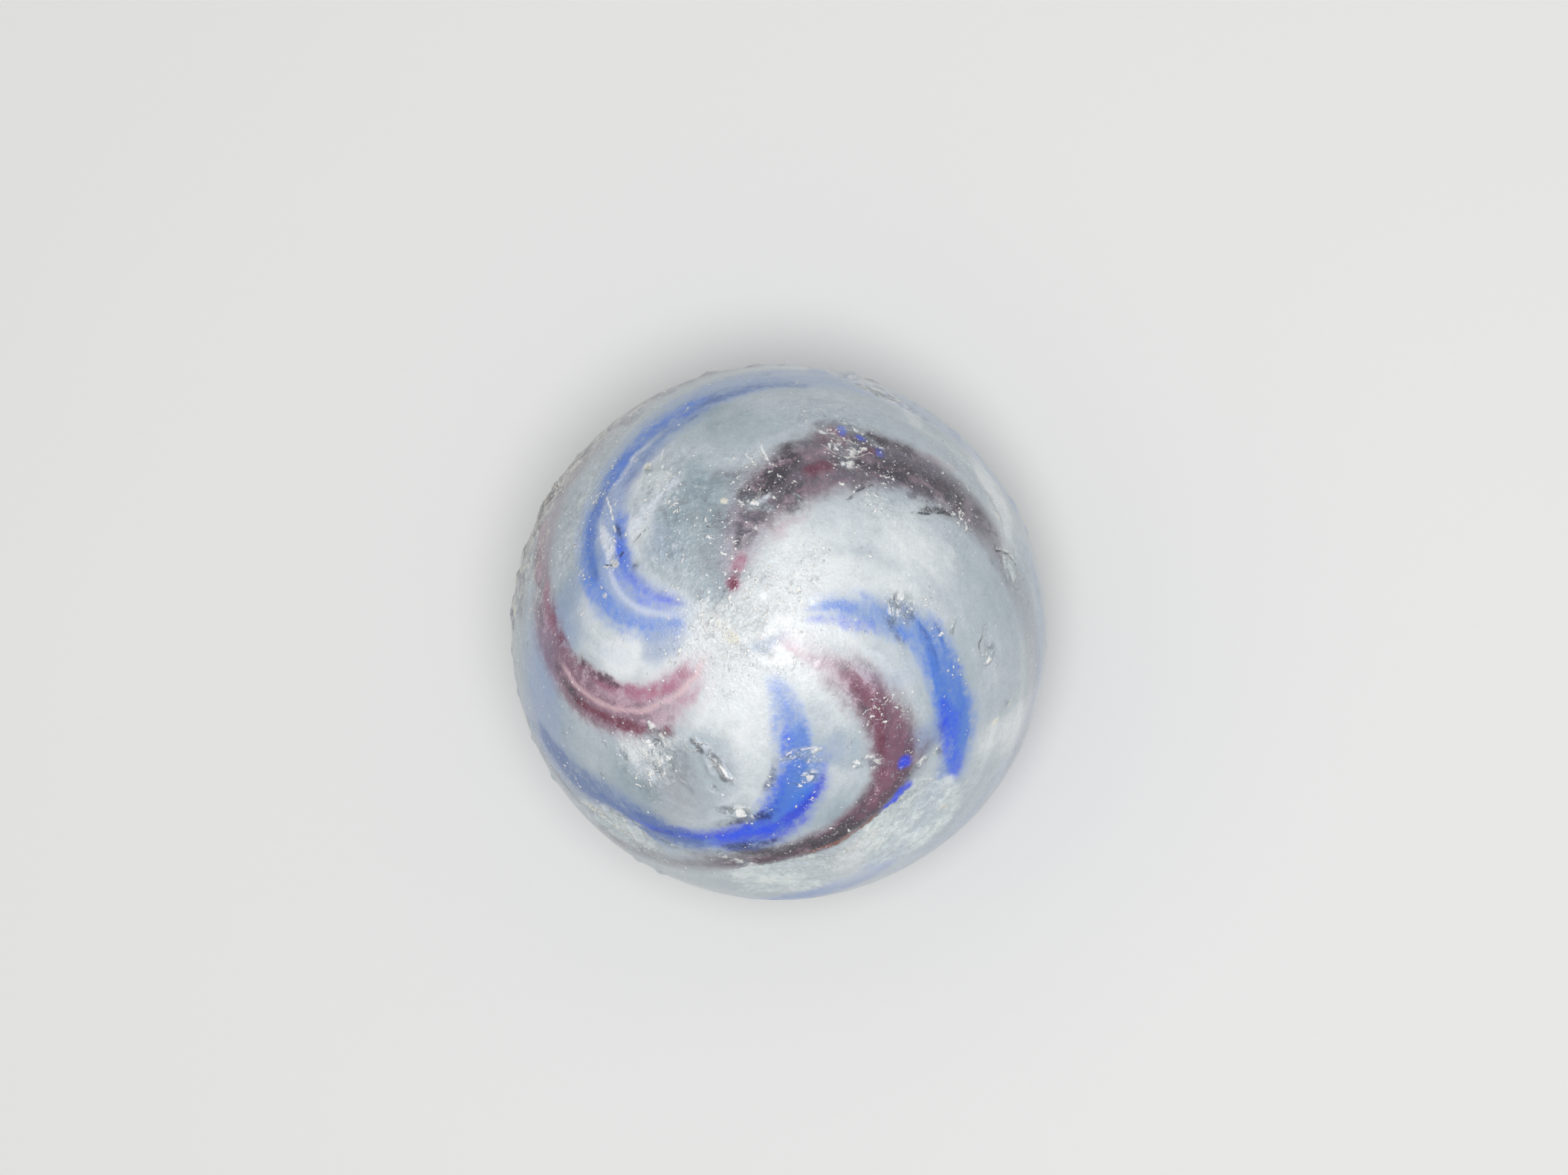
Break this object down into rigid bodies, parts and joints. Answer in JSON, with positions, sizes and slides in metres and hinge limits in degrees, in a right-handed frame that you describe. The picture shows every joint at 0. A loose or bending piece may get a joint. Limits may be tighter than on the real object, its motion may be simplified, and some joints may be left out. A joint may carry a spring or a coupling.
{
  "type": "glass marble",
  "caption": "Worn hand-made glass marble: a milky ball with bands of blue and amethyst glass that swirl from pole to pole.",
  "frame": {"origin": "centre of the ball", "axes": "+Z along the axis of the twist, towards the pole whose bands show; +X through zero turn of the bands"},
  "size_m": [0.016, 0.016, 0.0158],
  "materials": {
    "milk_glass": "frosted by wear",
    "blue_glass": "frosted by wear",
    "amethyst_glass": "frosted by wear"
  },
  "bodies": {
    "root": {"milk_glass_ball": "milk_glass", "blue_bands": "blue_glass", "amethyst_bands": "amethyst_glass"}
  },
  "joints": []
}
